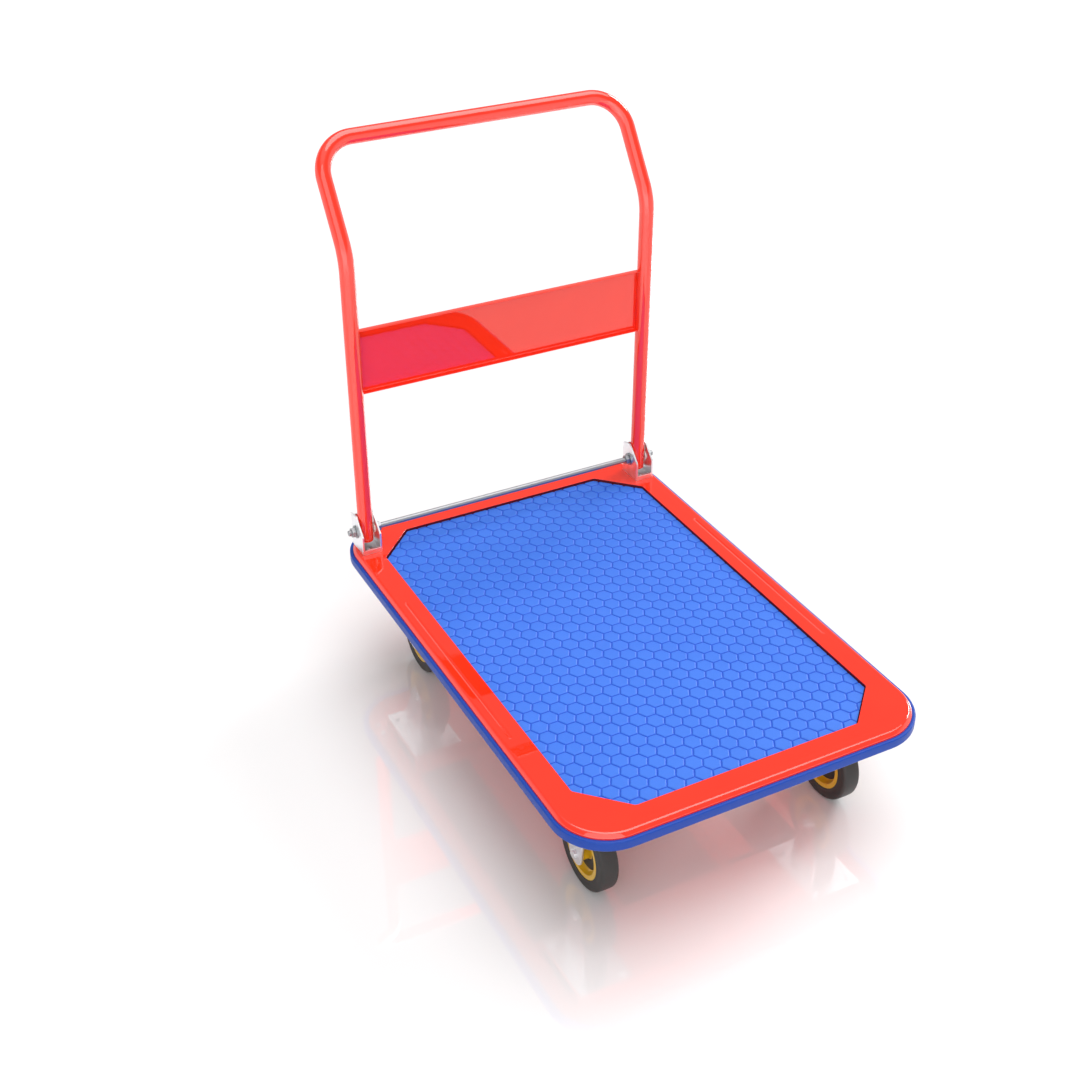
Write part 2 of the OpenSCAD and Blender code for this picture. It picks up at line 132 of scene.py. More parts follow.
# %% Colour and node helpers
def linear(hex_colour):
    """sRGB value s to linear light: s / 12.92 up to 0.04045, else ((s + 0.055) / 1.055) to the 2.4."""
    s = np.array([int(hex_colour[i:i + 2], 16) for i in (1, 3, 5)]) / 255
    low = s <= 0.04045
    return tuple(np.where(low, s / 12.92, ((s + 0.055) / 1.055) ** 2.4)) + (1.0,)


def add(tree, kind, inputs=None, **settings):
    """Adds one node: settings by keyword, and inputs as {socket: value, or another node's output}."""
    made = tree.nodes.new(kind)
    for key, value in settings.items():
        setattr(made, key, value)
    for key, value in (inputs or {}).items():
        if isinstance(value, bpy.types.NodeSocket):
            tree.links.new(value, made.inputs[key])
        else:
            made.inputs[key].default_value = value
    return made


def new_finish(name):
    """An empty material: its tree, its surface shader and its object coordinates."""
    finish = bpy.data.materials.new(name)
    finish.use_nodes = True
    tree = finish.node_tree
    return finish, tree, tree.nodes["Principled BSDF"], add(tree, "ShaderNodeTexCoord").outputs["Object"]


def set_surface(shader, **values):
    """Sets plain numbers and colours on the shader's own sockets; an underscore stands for a space."""
    for key, value in values.items():
        shader.inputs[key.replace("_", " ")].default_value = value


# %% [markdown]
# ### Red gloss enamel
#
# The deck, channels, handle and panel are steel with stoved gloss enamel. The enamel flows out while
# it is hot, so it mirrors its surroundings almost like lacquer, with only a faint orange peel a few
# millimetres across. A strong clear coat over a saturated red gives that: the colour comes from
# below and the mirror image lies on top. The wall and floor of the pressed field are painted a dull
# dark maroon as painted shade, so the mat is edged by a dark line.

# %% Red gloss enamel, and painted shade for the pressed field
red_enamel, tree, shader, at = new_finish("red_gloss_enamel")
peel = add(tree, "ShaderNodeTexNoise", {"Vector": at, "Scale": 1 / (4 * MM), "Detail": 1.0})
slow = add(tree, "ShaderNodeTexNoise", {"Vector": at, "Scale": 1 / (90 * MM), "Detail": 2.0})
tone = add(tree, "ShaderNodeMix", {"Factor": slow.outputs["Fac"], "A": linear("#F52A10"),
                                   "B": linear("#FA3114")}, data_type="RGBA")
tree.links.new(tone.outputs["Result"], shader.inputs["Base Color"])
bump = add(tree, "ShaderNodeBump", {"Height": peel.outputs["Fac"], "Strength": 0.06,
                                    "Distance": 0.05 * MM})
tree.links.new(bump.outputs["Normal"], shader.inputs["Normal"])
set_surface(shader, Roughness=0.5, Specular_IOR_Level=0.0, Coat_Weight=1.0, Coat_IOR=1.85,
            Coat_Roughness=0.02)

# Painted shade: a dull dark maroon that stands in for the shade on the wall of the pressed field.
painted_shade_enamel, tree, shader, at = new_finish("painted_shade_in_the_recess")
recess_shade_noise = add(tree, "ShaderNodeTexNoise", {"Vector": at, "Scale": 1 / (8 * MM), "Detail": 3.0})
tone = add(tree, "ShaderNodeMix", {"Factor": recess_shade_noise.outputs["Fac"], "A": linear("#4A0614"),
                                   "B": linear("#5C0A16")}, data_type="RGBA")
tree.links.new(tone.outputs["Result"], shader.inputs["Base Color"])
set_surface(shader, Roughness=0.6, Specular_IOR_Level=0.2)
print("made", red_enamel.name, "and", painted_shade_enamel.name)

# %% [markdown]
# ### Blue mat and blue bumper
#
# The mat is moulded synthetic rubber with raised hexagons. Its skin has the fine grain of the mould
# and a satin sheen. Little light reaches the grooves, so they get a deeper blue as painted shade. The
# bumper is an extruded strip of soft vinyl, smoother and darker.

# %% Blue rubber and blue vinyl
mat_low, mat_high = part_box("deck_mat")
mat_rubber, tree, shader, at = new_finish("blue_moulded_rubber")
height = add(tree, "ShaderNodeSeparateXYZ", {"Vector": at})
groove_shade_mask = add(tree, "ShaderNodeMapRange", {"Value": height.outputs["Z"], "From Min": mat_high.z - 1.3 * MM,
                                        "From Max": mat_high.z - 0.2 * MM})
cloud = add(tree, "ShaderNodeTexNoise", {"Vector": at, "Scale": 1 / (60 * MM), "Detail": 3.0})
top = add(tree, "ShaderNodeMix", {"Factor": cloud.outputs["Fac"], "A": linear("#2C68D0"),
                                  "B": linear("#3370D8")}, data_type="RGBA")
# Painted shade: lower down the hexagons' sides and in the grooves the colour runs to the deeper blue #1E56C8.
tone = add(tree, "ShaderNodeMix", {"Factor": groove_shade_mask.outputs["Result"], "A": linear("#1E56C8"),
                                   "B": top.outputs["Result"]}, data_type="RGBA")
grain = add(tree, "ShaderNodeTexNoise", {"Vector": at, "Scale": 1 / (1.2 * MM), "Detail": 2.0})
bump = add(tree, "ShaderNodeBump", {"Height": grain.outputs["Fac"], "Strength": 0.15,
                                    "Distance": 0.1 * MM})
tree.links.new(tone.outputs["Result"], shader.inputs["Base Color"])
tree.links.new(bump.outputs["Normal"], shader.inputs["Normal"])
set_surface(shader, Roughness=0.5, IOR=1.5, Specular_IOR_Level=0.4)

bumper_vinyl, tree, shader, at = new_finish("blue_extruded_vinyl")
grain = add(tree, "ShaderNodeTexNoise", {"Vector": at, "Scale": 1 / (2.0 * MM), "Detail": 3.0})
tone = add(tree, "ShaderNodeMix", {"Factor": grain.outputs["Fac"], "A": linear("#0A3C9C"),
                                   "B": linear("#0E44A6")}, data_type="RGBA")
bump = add(tree, "ShaderNodeBump", {"Height": grain.outputs["Fac"], "Strength": 0.1,
                                    "Distance": 0.1 * MM})
tree.links.new(tone.outputs["Result"], shader.inputs["Base Color"])
tree.links.new(bump.outputs["Normal"], shader.inputs["Normal"])
set_surface(shader, Roughness=0.42, IOR=1.45, Specular_IOR_Level=0.35)
print("made", mat_rubber.name, "and", bumper_vinyl.name)

# %% [markdown]
# ### Bright zinc plate
#
# Brackets, rod, forks, plates and fasteners are steel with bright zinc plate. It is a true metal
# surface, nearly white, and it mirrors whatever is around it; the steel below leaves faint cloudy
# patches and fine rolling marks that show as slightly duller streaks.

# %% Bright zinc plate
zinc_plate, tree, shader, at = new_finish("bright_zinc_plate")
cloud = add(tree, "ShaderNodeTexNoise", {"Vector": at, "Scale": 1 / (14 * MM), "Detail": 4.0})
streak_at = add(tree, "ShaderNodeMapping",
                {"Vector": at, "Scale": (1 / (0.8 * MM), 1 / (0.8 * MM), 1 / (18 * MM))})
streak = add(tree, "ShaderNodeTexNoise",
             {"Vector": streak_at.outputs["Vector"], "Scale": 1.0, "Detail": 2.0})
tone = add(tree, "ShaderNodeMix", {"Factor": cloud.outputs["Fac"], "A": linear("#E9EAED"),
                                   "B": linear("#F6F6F8")}, data_type="RGBA")
dull = add(tree, "ShaderNodeMapRange", {"Value": cloud.outputs["Fac"], "From Min": 0.3, "From Max": 0.7,
                                        "To Min": 0.30, "To Max": 0.40})
bump = add(tree, "ShaderNodeBump", {"Height": streak.outputs["Fac"], "Strength": 0.05,
                                    "Distance": 0.05 * MM})
tree.links.new(tone.outputs["Result"], shader.inputs["Base Color"])
tree.links.new(dull.outputs["Result"], shader.inputs["Roughness"])
tree.links.new(bump.outputs["Normal"], shader.inputs["Normal"])
set_surface(shader, Metallic=1.0)
print("made", zinc_plate.name)

# %% [markdown]
# ### Drawn steel
#
# The hinge rod with its nuts and washers is drawn bar: greyer than the plated sheet, because the
# drawing die leaves fine lines along the bar that scatter the light.

# %% Drawn steel
drawn_steel, tree, shader, at = new_finish("drawn_steel_bar")
lines_at = add(tree, "ShaderNodeMapping",
               {"Vector": at, "Scale": (1 / (30 * MM), 1 / (0.5 * MM), 1 / (0.5 * MM))})
lines = add(tree, "ShaderNodeTexNoise",
            {"Vector": lines_at.outputs["Vector"], "Scale": 1.0, "Detail": 2.0})
tone = add(tree, "ShaderNodeMix", {"Factor": lines.outputs["Fac"], "A": linear("#96989B"),
                                   "B": linear("#ABADB0")}, data_type="RGBA")
bump = add(tree, "ShaderNodeBump", {"Height": lines.outputs["Fac"], "Strength": 0.1,
                                    "Distance": 0.05 * MM})
tree.links.new(tone.outputs["Result"], shader.inputs["Base Color"])
tree.links.new(bump.outputs["Normal"], shader.inputs["Normal"])
set_surface(shader, Metallic=1.0, Roughness=0.4)
print("made", drawn_steel.name)

# %% [markdown]
# ### Wheel finishes
#
# The tyre is vulcanised black rubber: dark grey rather than black, dull, with the fine pitting of
# the mould. The wheel centre is steel in yellow stoved paint. The cover discs and the plugs in the
# legs are moulded black polypropylene, and the bushes are natural nylon, a little translucent.

# %% Tyre rubber, yellow paint, black polypropylene and nylon
tyre_rubber, tree, shader, at = new_finish("vulcanised_tyre_rubber")
pits = add(tree, "ShaderNodeTexNoise", {"Vector": at, "Scale": 1 / (1.5 * MM), "Detail": 3.0})
wear = add(tree, "ShaderNodeTexNoise", {"Vector": at, "Scale": 1 / (25 * MM), "Detail": 3.0})
tone = add(tree, "ShaderNodeMix", {"Factor": wear.outputs["Fac"], "A": linear("#2B2928"),
                                   "B": linear("#383635")}, data_type="RGBA")
bump = add(tree, "ShaderNodeBump", {"Height": pits.outputs["Fac"], "Strength": 0.2,
                                    "Distance": 0.1 * MM})
tree.links.new(tone.outputs["Result"], shader.inputs["Base Color"])
tree.links.new(bump.outputs["Normal"], shader.inputs["Normal"])
set_surface(shader, Roughness=0.55, IOR=1.5)

yellow_paint, tree, shader, at = new_finish("yellow_stoved_paint")
peel = add(tree, "ShaderNodeTexNoise", {"Vector": at, "Scale": 1 / (3 * MM), "Detail": 2.0})
tone = add(tree, "ShaderNodeMix", {"Factor": peel.outputs["Fac"], "A": linear("#D8A615"),
                                   "B": linear("#E2B322")}, data_type="RGBA")
bump = add(tree, "ShaderNodeBump", {"Height": peel.outputs["Fac"], "Strength": 0.1,
                                    "Distance": 0.05 * MM})
tree.links.new(tone.outputs["Result"], shader.inputs["Base Color"])
tree.links.new(bump.outputs["Normal"], shader.inputs["Normal"])
set_surface(shader, Roughness=0.32, IOR=1.5, Coat_Weight=0.4, Coat_Roughness=0.1)

black_plastic, tree, shader, at = new_finish("black_moulded_polypropylene")
grain = add(tree, "ShaderNodeTexNoise", {"Vector": at, "Scale": 1 / (0.8 * MM), "Detail": 2.0})
tone = add(tree, "ShaderNodeMix", {"Factor": grain.outputs["Fac"], "A": linear("#1E1C1B"),
                                   "B": linear("#282524")}, data_type="RGBA")
bump = add(tree, "ShaderNodeBump", {"Height": grain.outputs["Fac"], "Strength": 0.15,
                                    "Distance": 0.05 * MM})
tree.links.new(tone.outputs["Result"], shader.inputs["Base Color"])
tree.links.new(bump.outputs["Normal"], shader.inputs["Normal"])
set_surface(shader, Roughness=0.45, IOR=1.49)

nylon, tree, shader, at = new_finish("natural_nylon")
cloud = add(tree, "ShaderNodeTexNoise", {"Vector": at, "Scale": 1 / (5 * MM), "Detail": 2.0})
tone = add(tree, "ShaderNodeMix", {"Factor": cloud.outputs["Fac"], "A": linear("#DEDBD2"),
                                   "B": linear("#E9E7E0")}, data_type="RGBA")
tree.links.new(tone.outputs["Result"], shader.inputs["Base Color"])
set_surface(shader, Roughness=0.4, IOR=1.53, Subsurface_Weight=0.1, Subsurface_Scale=2 * MM)
print("made", tyre_rubber.name, yellow_paint.name, black_plastic.name, nylon.name)

# %% [markdown]
# ## The deck
#
# The deck is one pressing: a flat rim with its corners rounded, an edge that rolls down into a
# skirt, a field pressed down to hold the mat, with its corners cut off, and two long beads that
# stiffen the side rims. Seen from above it has two outlines, the rounded outer one and the
# eight-sided inner one, so both are sampled with the same number of points, side against side and
# corner against corner. The surface is then a stack of rings: outer rings for the skirt and the
# rolled edge, blends of the two outlines across the rim, inner rings down into the field. The sheet
# gets its thickness afterwards.

# %% The two outlines of the deck
deck_low, deck_high = (np.array(v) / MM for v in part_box("deck_pan"))
deck_mid = (deck_low + deck_high) / 2
half_x, half_y = ((deck_high - deck_low) / 2)[:2]
rim_z = deck_high[2]
CORNER_R = 80.0
RIM = 43.3
CUT = 66.0
FIELD_CORNER_R = 7.0
CORNER_STEPS = 24
BEAD_X = half_x - 19.0
BEAD_HALF = 192.0
BEAD_W = 7.0
BEAD_DEPTH = 1.0
# The steps along a side are close together at 0.49 to 0.57 of its half, where the beads end.
long_steps = np.concatenate([np.linspace(-1, -0.57, 14)[:-1], np.linspace(-0.57, -0.49, 26)[:-1],
                             np.linspace(-0.49, 0.49, 30)[:-1], np.linspace(0.49, 0.57, 26)[:-1],
                             np.linspace(0.57, 1, 14)])
short_steps = np.linspace(-1, 1, 30)


def quarter_turns(side_y, corner, side_x):
    """A whole outline from its right side, its top right corner and its top side, each (n, 2):
    the left and bottom halves are the same points turned half a turn."""
    half = np.concatenate([side_y[:-1], corner[:-1], side_x[:-1],
                           (corner[::-1] * [-1, 1])[:-1]])
    return np.concatenate([half, -half])


def rounded_outline(hx, hy, r):
    """Straight sides joined by quarter circles: (hx - r + r cos a, hy - r + r sin a)."""
    a = np.linspace(0, math.pi / 2, CORNER_STEPS + 1)
    side_y = np.stack([np.full_like(long_steps, hx), long_steps * (hy - r)], axis=1)
    side_x = np.stack([-short_steps * (hx - r), np.full_like(short_steps, hy)], axis=1)
    corner = np.stack([hx - r + r * np.cos(a), hy - r + r * np.sin(a)], axis=1)
    return quarter_turns(side_y, corner, side_x)


def cut_outline(hx, hy, cut, r):
    """A rectangle with its corners cut at 45 degrees and each of the eight corners rounded by r:
    eighth of a circle, straight, eighth of a circle."""
    back = r * math.tan(math.pi / 8)
    third = CORNER_STEPS // 3
    a = np.linspace(0, math.pi / 4, third + 1)[:, None]
    one = np.array([hx - r, hy - cut - back]) + r * np.hstack([np.cos(a), np.sin(a)])
    b = a + math.pi / 4
    two = np.array([hx - cut - back, hy - r]) + r * np.hstack([np.cos(b), np.sin(b)])
    t = np.linspace(0, 1, third + 1)[:, None]
    corner = np.concatenate([one[:-1], (one[-1] + (two[0] - one[-1]) * t)[:-1], two])
    side_y = np.stack([np.full_like(long_steps, hx), long_steps * (hy - cut - back)], axis=1)
    side_x = np.stack([-short_steps * (hx - cut - back), np.full_like(short_steps, hy)], axis=1)
    return quarter_turns(side_y, corner, side_x)


CUT_SHRINK = 2 - math.sqrt(2)


def shrunk_cut(inset):
    """The field's outline moved inward by inset; the cut shortens so the slanted side moves too."""
    return cut_outline(half_x - RIM - inset, half_y - RIM - inset,
                       CUT - inset * CUT_SHRINK, FIELD_CORNER_R)


print(len(rounded_outline(half_x, half_y, CORNER_R)), "points round the deck")

# %% [markdown]
# The rolled edge is a short slope with a small radius above and below, which is what gives the real
# rim its two thin lines of light. The beads are pressed down by a squared cosine: full depth on their
# middle line, none at their edges, and the same across their round ends.

# %% The deck pressing
EDGE = [(0, -23), (0, -14), (0, -7), (0, -6.2), (0.25, -5.4), (0.8, -4.7), (3.6, -1.5), (4.4, -0.8),
        (5.2, -0.3), (6.2, -0.05), (7.2, 0)]
FIELD_WALL = [(-0.25, 0), (-0.2, -0.02), (-0.06, -0.08), (0.0, -0.22), (0.02, -0.6), (0.28, -5.8),
              (0.34, -6.4), (0.8, -7.3), (1.6, -7.5), (6.0, -7.5)]
RIM_INNER = -1.2
outer_rings = [rounded_outline(half_x - e, half_y - e, CORNER_R - e) for e, z in EDGE]
inner_rings = [shrunk_cut(e) for e, z in FIELD_WALL]
across = np.concatenate([[0.06], np.linspace(0.13, 0.46, 17), np.linspace(0.52, 0.97, 8)])
rim_end = shrunk_cut(RIM_INNER)
rim_rings = [outer_rings[-1] * (1 - t) + rim_end * t for t in across]
to_middle = (0.7, 0.35, 0.02)
plan = np.array(outer_rings + rim_rings + [rim_end] + inner_rings
                + [inner_rings[-1] * t for t in to_middle])
level = np.array([z for e, z in EDGE] + [0.0] * (len(across) + 1) + [z for e, z in FIELD_WALL]
                 + [FIELD_WALL[-1][1]] * len(to_middle))
pan = np.dstack([plan, np.broadcast_to(level[:, None], plan.shape[:2])])
off_line = np.hypot(np.abs(pan[..., 0]) - BEAD_X, np.maximum(np.abs(pan[..., 1]) - BEAD_HALF, 0))
bead = np.cos(np.clip(off_line / (BEAD_W / 2), 0, 1) * math.pi / 2) ** 2
pan[..., 2] -= BEAD_DEPTH * bead * (level == 0)[:, None]
pan += [deck_mid[0], deck_mid[1], rim_z]
rings, around = pan.shape[:2]
deck = make_piece("deck_pressing", pan, grid_faces(rings, around, wrap_cols=True),
                  caps=[range((rings - 1) * around, rings * around)], crisp=60)
# The pressing is open below, so its floor settles which side is the outer one.
if deck.data.polygons[-1].normal.z < 0:
    deck.data.flip_normals()
SHEET = 1.8
thicken = deck.modifiers.new("sheet thickness", "SOLIDIFY")
thicken.thickness = SHEET * MM
thicken.offset = -1.0
dress(deck, "chassis", red_enamel, "red_paint", "deck_pan")
# The second material is the painted shade for the wall and floor of the pressed field.
deck.data.materials.append(painted_shade_enamel)
WALL_RINGS_ON_THE_LIP = 4
recess_from = len(outer_rings) + len(rim_rings) + 1 + WALL_RINGS_ON_THE_LIP
in_recess = np.arange(len(deck.data.polygons)) >= recess_from * around
deck.data.polygons.foreach_set("material_index", in_recess.astype(np.int32))

# %% [markdown]
# ## The mat
#
# The mat lies in the pressed field. It is a moulded sheet whose face is a regular lattice of raised
# hexagons with narrow grooves, cut to the field's outline, so the pattern simply stops at the cut.
# Every hexagon is the same small frustum, so its points are one array added to the array of lattice
# centres. The ones that cross the outline are cut by its eight planes and closed again.

# %% The hexagons
PITCH = 26.5
GROOVE = 0.9
BEVEL = 1.9
LIFT = 1.5
ROOT = 0.4
MAT_GAP = 1.2
MAT_CORNER_R = 6.0
mat_top = mat_high.z / MM
mat_x, mat_y = half_x - RIM - MAT_GAP, half_y - RIM - MAT_GAP
column = PITCH * math.sqrt(3) / 2
i, j = np.meshgrid(np.arange(-13, 14), np.arange(-18, 19), indexing="ij")
lattice_x = (i * column).ravel() + deck_mid[0]
lattice_y = ((j + 0.5 * (i % 2)) * PITCH).ravel() + deck_mid[1]
corner_at = np.arange(6) * math.pi / 3
flat_out = PITCH / 2 - GROOVE / 2


def hexagon_ring(flat, z):
    """Six corners at flat / cos(30) from the middle, points along X, at height z."""
    r = flat / math.cos(math.pi / 6)
    return np.stack([r * np.cos(corner_at), r * np.sin(corner_at), np.full(6, z)], axis=1)


stud = np.concatenate([hexagon_ring(flat_out, mat_top - LIFT - ROOT),
                       hexagon_ring(flat_out, mat_top - LIFT),
                       hexagon_ring(flat_out - 0.5, mat_top - LIFT * 0.5),
                       hexagon_ring(flat_out - BEVEL, mat_top)])
centres = np.stack([lattice_x, lattice_y, np.zeros_like(lattice_x)], axis=1)
near = np.abs(centres[:, :2] - deck_mid[:2]) < np.array([mat_x, mat_y]) + PITCH
centres = centres[near.all(axis=1)]
points = (centres[:, None, :] + stud[None, :, :]).reshape(-1, 3)
offsets = np.arange(len(centres))[:, None, None] * len(stud)
sides = (grid_faces(4, 6, wrap_cols=True)[None] + offsets).reshape(-1, 4)
top_and_bottom = np.array([[18, 19, 20, 21, 22, 23], [5, 4, 3, 2, 1, 0]])
lids = (top_and_bottom[None] + offsets).reshape(-1, 6)
STUD_CRISP = 20
studs = make_piece("mat_hexagons", points, sides, caps=lids, crisp=STUD_CRISP)

cutter = bmesh.new()
cutter.from_mesh(studs.data)
mat_cut = CUT + MAT_GAP * CUT_SHRINK
slant = mat_x + mat_y - mat_cut
for nx, ny, reach in [(1, 0, mat_x), (-1, 0, mat_x), (0, 1, mat_y), (0, -1, mat_y)] + [
        (sx, sy, slant) for sx in (1, -1) for sy in (1, -1)]:
    normal = Vector((nx, ny, 0)).normalized()
    on_plane = Vector((deck_mid[0], deck_mid[1], 0)) * MM + normal * (reach / math.hypot(nx, ny)) * MM
    cut = bmesh.ops.bisect_plane(cutter, geom=cutter.verts[:] + cutter.edges[:] + cutter.faces[:],
                                 plane_co=on_plane, plane_no=normal, clear_outer=True)
    edges = [e for e in cut["geom_cut"] if isinstance(e, bmesh.types.BMEdge)]
    bmesh.ops.holes_fill(cutter, edges=edges, sides=0)
cutter.to_mesh(studs.data)
cutter.free()
studs.data.set_sharp_from_angle(angle=math.radians(STUD_CRISP))
print(len(centres), "hexagons,", len(studs.data.polygons), "faces after the cut")

# %% The sheet under the hexagons
sheet_plan = cut_outline(mat_x, mat_y, mat_cut, MAT_CORNER_R)
shares = (0.02, 0.35, 0.7, 1.0)
sheet_under, sheet_over = mat_low.z / MM, mat_top - LIFT
sheet_rings = [(share, sheet_under) for share in shares] + [(share, sheet_over) for share in shares[::-1]]
sheet = np.array([np.hstack([sheet_plan * share + deck_mid[:2], np.full((around, 1), z)])
                  for share, z in sheet_rings])
mat_sheet = make_piece("mat_sheet", sheet, grid_faces(len(sheet_rings), around, wrap_cols=True),
                       caps=[range(around), range((len(sheet_rings) - 1) * around,
                                                  len(sheet_rings) * around)])
dress(mat_sheet, "chassis", mat_rubber, "blue_mat", "deck_mat")
dress(studs, "chassis", mat_rubber, "blue_mat")

# %% [markdown]
# ## The bumper
#
# A vinyl strip is wrapped round the skirt and hooks in under it. Its section is a narrow ledge, a
# round shoulder, an upright face and a lip below. The section is closed and so is its path, so the
# grid wraps both ways and needs no caps.

# %% The bumper strip
bump_low, bump_high = (np.array(v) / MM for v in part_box("bumper"))
PROUD = bump_high[0] - half_x
SHOULDER_R = 2.2
HEEL_R = 3.0
z0, z1 = bump_low[2], bump_high[2]
turn = np.linspace(0, math.pi / 2, 7)
shoulder = np.stack([PROUD - SHOULDER_R + SHOULDER_R * np.sin(turn),
                     z1 - SHOULDER_R + SHOULDER_R * np.cos(turn)], axis=1)
heel = np.stack([PROUD - HEEL_R + HEEL_R * np.cos(turn), z0 + HEEL_R - HEEL_R * np.sin(turn)], axis=1)
section = np.concatenate([[[-0.1, z1 - 0.6], [0.4, z1 - 0.1], [0.9, z1]], shoulder, heel,
                          [[-3.4, z0], [-4.0, z0 + 0.5], [-4.0, z0 + 1.9], [-0.1, z0 + 1.9]]])
strip = np.array([np.hstack([rounded_outline(half_x + o, half_y + o, CORNER_R + o) + deck_mid[:2],
                             np.full((around, 1), z)]) for o, z in section])
bumper = make_piece("bumper_strip", strip,
                    grid_faces(*strip.shape[:2], wrap_rows=True, wrap_cols=True), crisp=50)
dress(bumper, "chassis", bumper_vinyl, "blue_bumper", "bumper")

# %% [markdown]
# ## The handle
#
# One length of steel tube is bent into a hoop: two upright legs, a backward lean, two round corners
# and the push bar. The middle line is built from straights and arcs. At each station a circle is
# drawn in the plane across the line, using the leaning frame's normal to keep the circles from
# twisting. The line runs a little way back inside each leg at its foot, so the open ends show their
# wall.

# %% The handle's middle line
tube_low, tube_high = (np.array(v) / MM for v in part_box("handle_tube"))
TUBE_R = 12.7
BORE_R = 11.1
LEAN = math.radians(35)
LEG_BEND = 88.0
TOP_BEND = 60.0
LEAN_LENGTH = 185.0
leg_x = tube_high[0] - TUBE_R
leg_y = tube_low[1] + TUBE_R
foot_z = tube_low[2]
bend_z = tube_high[2] - TUBE_R - LEAN_LENGTH * math.cos(LEAN)
shorten = LEG_BEND * math.tan(LEAN / 2)
lean_dir = np.array([0, math.sin(LEAN), math.cos(LEAN)])
lean_across = np.array([0, math.cos(LEAN), -math.sin(LEAN)])
knee = np.array([leg_x, leg_y, bend_z])


def arc(centre, start, along, angle, steps):
    """centre + start cos a + along sin a, for a from 0 to angle; both vectors as long as the radius."""
    a = np.linspace(0, angle, steps)[1:-1, None]
    return centre + start * np.cos(a) + along * np.sin(a)


def straight(a, b, steps):
    return a + (b - a) * np.linspace(0, 1, steps)[:, None]


leg_top = knee - [0, 0, shorten]
lean_foot = knee + lean_dir * shorten
lean_top = knee + lean_dir * (LEAN_LENGTH - TOP_BEND)
bar_end = knee + lean_dir * LEAN_LENGTH - [TOP_BEND, 0, 0]
right_half = np.concatenate([
    straight(np.array([leg_x, leg_y, foot_z]), leg_top, 20),
    arc(leg_top + [0, LEG_BEND, 0], np.array([0, -LEG_BEND, 0.0]), np.array([0, 0, LEG_BEND]), LEAN, 16),
    straight(lean_foot, lean_top, 6),
    arc(lean_top - [TOP_BEND, 0, 0], np.array([TOP_BEND, 0, 0.0]), lean_dir * TOP_BEND, math.pi / 2, 22),
    straight(bar_end, bar_end * [0, 1, 1], 10)])
middle = np.concatenate([right_half[:-1], right_half[::-1] * [-1, 1, 1]])
print(len(middle), "stations along the handle")

# %% The handle's surface
tangent = np.gradient(middle, axis=0)
tangent /= np.linalg.norm(tangent, axis=1)[:, None]
side = np.cross(tangent, lean_across)
side /= np.linalg.norm(side, axis=1)[:, None]
over = np.cross(side, tangent)
BORE_DEPTH = 12.0
BORE_EDGE = 0.2
FOOT_EDGE = 0.3
into_leg = np.array([[0, 0, BORE_DEPTH], [0, 0, BORE_EDGE], [0, 0, 0]])
at_station = np.concatenate([middle[0] + into_leg, middle, middle[-1] + into_leg[::-1]])
side, over = (np.concatenate([v[:1].repeat(3, 0), v, v[-1:].repeat(3, 0)]) for v in (side, over))
radius = np.full(len(at_station), TUBE_R)
radius[[0, 1, -2, -1]] = BORE_R
radius[[2, -3]] = TUBE_R - FOOT_EDGE
ROUND = 40
a = np.linspace(0, 2 * math.pi, ROUND, endpoint=False)
hoop = at_station[:, None] + radius[:, None, None] * (side[:, None] * np.cos(a)[None, :, None]
                                                      + over[:, None] * np.sin(a)[None, :, None])
stations = len(at_station)
handle = make_piece("handle_hoop", hoop, grid_faces(stations, ROUND, wrap_cols=True),
                    caps=[range(ROUND), range((stations - 1) * ROUND, stations * ROUND)], crisp=50)
dress(handle, "handle", red_enamel, "red_paint", "handle_tube")

# %% [markdown]
# ## The cross panel
#
# Between the legs sits a shallow pressed tray: a flat face turned away from the load, with a flange
# folded forward along each long edge. Its section is drawn once in Y and Z, the folds as small
# quarter turns, and carried straight across from leg to leg.

# %% The panel
panel_low, panel_high = (np.array(v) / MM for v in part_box("handle_panel"))
FOLD = 2.5
THICK = 1.5
py0, py1 = panel_low[1], panel_high[1]
pz0, pz1 = panel_low[2], panel_high[2]
outside_bottom = np.stack([py1 - FOLD + FOLD * np.sin(turn), pz0 + FOLD - FOLD * np.cos(turn)], axis=1)
outside_top = np.stack([py1 - FOLD + FOLD * np.cos(turn), pz1 - FOLD + FOLD * np.sin(turn)], axis=1)
inner = FOLD - THICK
inside_top = np.stack([py1 - FOLD + inner * np.sin(turn), pz1 - FOLD + inner * np.cos(turn)], axis=1)
inside_bottom = np.stack([py1 - FOLD + inner * np.cos(turn), pz0 + FOLD - inner * np.sin(turn)], axis=1)
LIP_EDGE = 0.4
INTO_LEG = 2.0


def lip(z_out, z_in):
    """The flange's free edge from its outer to its inner side, with both corners taken off."""
    step = z_in - z_out
    return [[py0 + LIP_EDGE, z_out], [py0, z_out + step * 0.3], [py0, z_out + step * 0.7],
            [py0 + LIP_EDGE, z_in]]


# Points next to the folds keep the shading of the flat face flat.
flat_low, flat_high = pz0 + 3.0, pz1 - 3.0
section = np.concatenate([lip(pz0, pz0 + THICK)[::-1], outside_bottom, [[py1, flat_low], [py1, flat_high]],
                          outside_top, lip(pz1, pz1 - THICK), inside_top,
                          [[py1 - THICK, flat_high], [py1 - THICK, flat_low]], inside_bottom])
panel_x = np.array([-1, -0.98, -0.5, 0, 0.5, 0.98, 1]) * (leg_x - INTO_LEG)
tray = np.concatenate([np.broadcast_to(panel_x[:, None, None], (len(panel_x), len(section), 1)),
                       np.broadcast_to(section[None], (len(panel_x), *section.shape))], axis=2)
rows, cols = tray.shape[:2]
panel = make_piece("cross_panel", tray, grid_faces(rows, cols, wrap_cols=True),
                   caps=[range(cols), range((rows - 1) * cols, rows * cols)], crisp=40)
dress(panel, "handle", red_enamel, "red_paint", "handle_panel")

